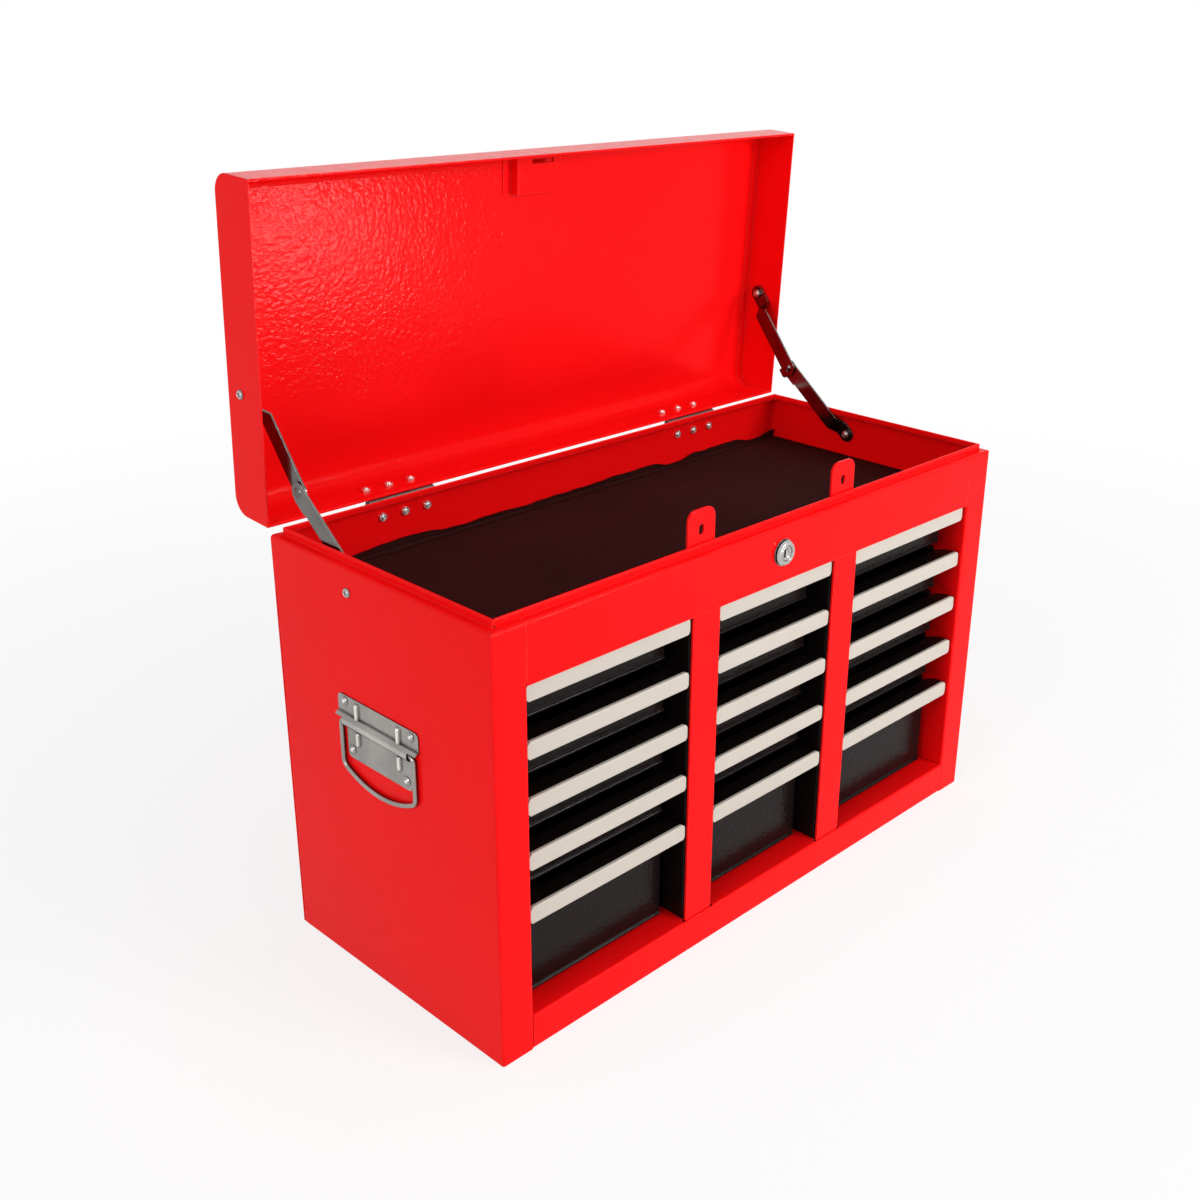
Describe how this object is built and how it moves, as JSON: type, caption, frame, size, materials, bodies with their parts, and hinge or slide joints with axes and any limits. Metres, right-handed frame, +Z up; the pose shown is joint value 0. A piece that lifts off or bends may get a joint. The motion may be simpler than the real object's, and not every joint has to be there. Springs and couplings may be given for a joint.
{
  "type": "portable tool box with drawers",
  "caption": "Portable steel tool box with narrow drawers in columns, a lift-up lid over a shallow tray, lock bars and bail handles.",
  "frame": {"origin": "middle of the flat base, on the surface the box stands on", "axes": "+Z up, -Y towards the drawer fronts, +X to the right of someone facing the drawers"},
  "size_m": [0.6108, 0.3103, 0.6154],
  "materials": {
    "red_paint": "powder coat, semi gloss",
    "black_paint": "gloss",
    "cream_plastic": "satin",
    "zinc": "zinc plated",
    "chrome": "polished",
    "rubber_mat": "ribbed, matt"
  },
  "bodies": {
    "cabinet": {"side_left": "red_paint", "side_right": "red_paint", "back_panel": "red_paint", "top_rail": "red_paint", "bottom_pan": "red_paint", "post_left": "black_paint", "post_right": "black_paint", "runner_rails": "zinc", "tray_floor": "red_paint", "tray_mat": "rubber_mat", "hinge_leaves_body": "zinc", "hinge_pins": "zinc", "screws_body": "zinc", "handle_plates": "red_paint", "handle_rivets": "zinc", "lock_housing": "chrome"},
    "lid": {"lid_shell": "red_paint", "lid_ends": "red_paint", "catch_bracket": "red_paint", "hinge_leaves_lid": "zinc", "screws_lid": "zinc"},
    "left_stay_lower": {"stay_lower_left": "zinc"},
    "left_stay_upper": {"stay_upper_left": "zinc"},
    "right_stay_lower": {"stay_lower_right": "zinc"},
    "right_stay_upper": {"stay_upper_right": "zinc"},
    "left_drawer_1": {"drawer_left_1": "black_paint", "pull_left_1": "cream_plastic"},
    "left_drawer_2": {"drawer_left_2": "black_paint", "pull_left_2": "cream_plastic"},
    "left_drawer_3": {"drawer_left_3": "black_paint", "pull_left_3": "cream_plastic"},
    "left_drawer_4": {"drawer_left_4": "black_paint", "pull_left_4": "cream_plastic"},
    "left_drawer_5": {"drawer_left_5": "black_paint", "pull_left_5": "cream_plastic"},
    "mid_drawer_1": {"drawer_mid_1": "black_paint", "pull_mid_1": "cream_plastic"},
    "mid_drawer_2": {"drawer_mid_2": "black_paint", "pull_mid_2": "cream_plastic"},
    "mid_drawer_3": {"drawer_mid_3": "black_paint", "pull_mid_3": "cream_plastic"},
    "mid_drawer_4": {"drawer_mid_4": "black_paint", "pull_mid_4": "cream_plastic"},
    "mid_drawer_5": {"drawer_mid_5": "black_paint", "pull_mid_5": "cream_plastic"},
    "right_drawer_1": {"drawer_right_1": "black_paint", "pull_right_1": "cream_plastic"},
    "right_drawer_2": {"drawer_right_2": "black_paint", "pull_right_2": "cream_plastic"},
    "right_drawer_3": {"drawer_right_3": "black_paint", "pull_right_3": "cream_plastic"},
    "right_drawer_4": {"drawer_right_4": "black_paint", "pull_right_4": "cream_plastic"},
    "right_drawer_5": {"drawer_right_5": "black_paint", "pull_right_5": "cream_plastic"},
    "left_lock_bar": {"lock_bar_left": "red_paint"},
    "right_lock_bar": {"lock_bar_right": "red_paint"},
    "left_bail": {"bail_left": "zinc"},
    "right_bail": {"bail_right": "zinc"},
    "lock": {"lock_core": "chrome"}
  },
  "joints": [
    {"name": "lid_hinge", "type": "hinge", "parent": "cabinet", "child": "lid", "pos_m": [0, 0.1333, 0.351], "axis": [-1, 0, 0], "range_deg": [-87, 0]},
    {"name": "left_stay_lower_pivot", "type": "hinge", "parent": "cabinet", "child": "left_stay_lower", "pos_m": [-0.297, 0.032, 0.331], "axis": [-1, 0, 0], "range_deg": [0, 15.29]},
    {"name": "left_stay_upper_pivot", "type": "hinge", "parent": "lid", "child": "left_stay_upper", "pos_m": [-0.297, 0.15441, 0.45455], "axis": [-1, 0, 0], "range_deg": [-33.83, 0]},
    {"name": "right_stay_lower_pivot", "type": "hinge", "parent": "cabinet", "child": "right_stay_lower", "pos_m": [0.297, 0.032, 0.331], "axis": [-1, 0, 0], "range_deg": [0, 15.29]},
    {"name": "right_stay_upper_pivot", "type": "hinge", "parent": "lid", "child": "right_stay_upper", "pos_m": [0.297, 0.15441, 0.45455], "axis": [-1, 0, 0], "range_deg": [-33.83, 0]},
    {"name": "left_drawer_1_slide", "type": "slide", "parent": "cabinet", "child": "left_drawer_1", "axis": [0, -1, 0], "range_m": [0, 0.19]},
    {"name": "left_drawer_2_slide", "type": "slide", "parent": "cabinet", "child": "left_drawer_2", "axis": [0, -1, 0], "range_m": [0, 0.19]},
    {"name": "left_drawer_3_slide", "type": "slide", "parent": "cabinet", "child": "left_drawer_3", "axis": [0, -1, 0], "range_m": [0, 0.19]},
    {"name": "left_drawer_4_slide", "type": "slide", "parent": "cabinet", "child": "left_drawer_4", "axis": [0, -1, 0], "range_m": [0, 0.19]},
    {"name": "left_drawer_5_slide", "type": "slide", "parent": "cabinet", "child": "left_drawer_5", "axis": [0, -1, 0], "range_m": [0, 0.19]},
    {"name": "mid_drawer_1_slide", "type": "slide", "parent": "cabinet", "child": "mid_drawer_1", "axis": [0, -1, 0], "range_m": [0, 0.19]},
    {"name": "mid_drawer_2_slide", "type": "slide", "parent": "cabinet", "child": "mid_drawer_2", "axis": [0, -1, 0], "range_m": [0, 0.19]},
    {"name": "mid_drawer_3_slide", "type": "slide", "parent": "cabinet", "child": "mid_drawer_3", "axis": [0, -1, 0], "range_m": [0, 0.19]},
    {"name": "mid_drawer_4_slide", "type": "slide", "parent": "cabinet", "child": "mid_drawer_4", "axis": [0, -1, 0], "range_m": [0, 0.19]},
    {"name": "mid_drawer_5_slide", "type": "slide", "parent": "cabinet", "child": "mid_drawer_5", "axis": [0, -1, 0], "range_m": [0, 0.19]},
    {"name": "right_drawer_1_slide", "type": "slide", "parent": "cabinet", "child": "right_drawer_1", "axis": [0, -1, 0], "range_m": [0, 0.19]},
    {"name": "right_drawer_2_slide", "type": "slide", "parent": "cabinet", "child": "right_drawer_2", "axis": [0, -1, 0], "range_m": [0, 0.19]},
    {"name": "right_drawer_3_slide", "type": "slide", "parent": "cabinet", "child": "right_drawer_3", "axis": [0, -1, 0], "range_m": [0, 0.19]},
    {"name": "right_drawer_4_slide", "type": "slide", "parent": "cabinet", "child": "right_drawer_4", "axis": [0, -1, 0], "range_m": [0, 0.19]},
    {"name": "right_drawer_5_slide", "type": "slide", "parent": "cabinet", "child": "right_drawer_5", "axis": [0, -1, 0], "range_m": [0, 0.19]},
    {"name": "left_lock_bar_lift", "type": "slide", "parent": "cabinet", "child": "left_lock_bar", "axis": [0, 0, 1], "range_m": [0, 0.02]},
    {"name": "right_lock_bar_lift", "type": "slide", "parent": "cabinet", "child": "right_lock_bar", "axis": [0, 0, 1], "range_m": [0, 0.02]},
    {"name": "left_bail_swing", "type": "hinge", "parent": "cabinet", "child": "left_bail", "pos_m": [-0.30225, 0.003, 0.225], "axis": [0, 1, 0], "range_deg": [0, 90]},
    {"name": "right_bail_swing", "type": "hinge", "parent": "cabinet", "child": "right_bail", "pos_m": [0.30225, 0.003, 0.225], "axis": [0, -1, 0], "range_deg": [0, 90]},
    {"name": "lock_turn", "type": "hinge", "parent": "cabinet", "child": "lock", "pos_m": [0, -0.13, 0.328], "axis": [0, -1, 0], "range_deg": [0, 90]}
  ],
  "couplings": [
    {"joint": "left_stay_lower_pivot", "follows": "lid_hinge", "ratio": -0.17567},
    {"joint": "left_stay_upper_pivot", "follows": "lid_hinge", "ratio": 0.38878},
    {"joint": "right_stay_lower_pivot", "follows": "lid_hinge", "ratio": -0.17567},
    {"joint": "right_stay_upper_pivot", "follows": "lid_hinge", "ratio": 0.38878}
  ]
}
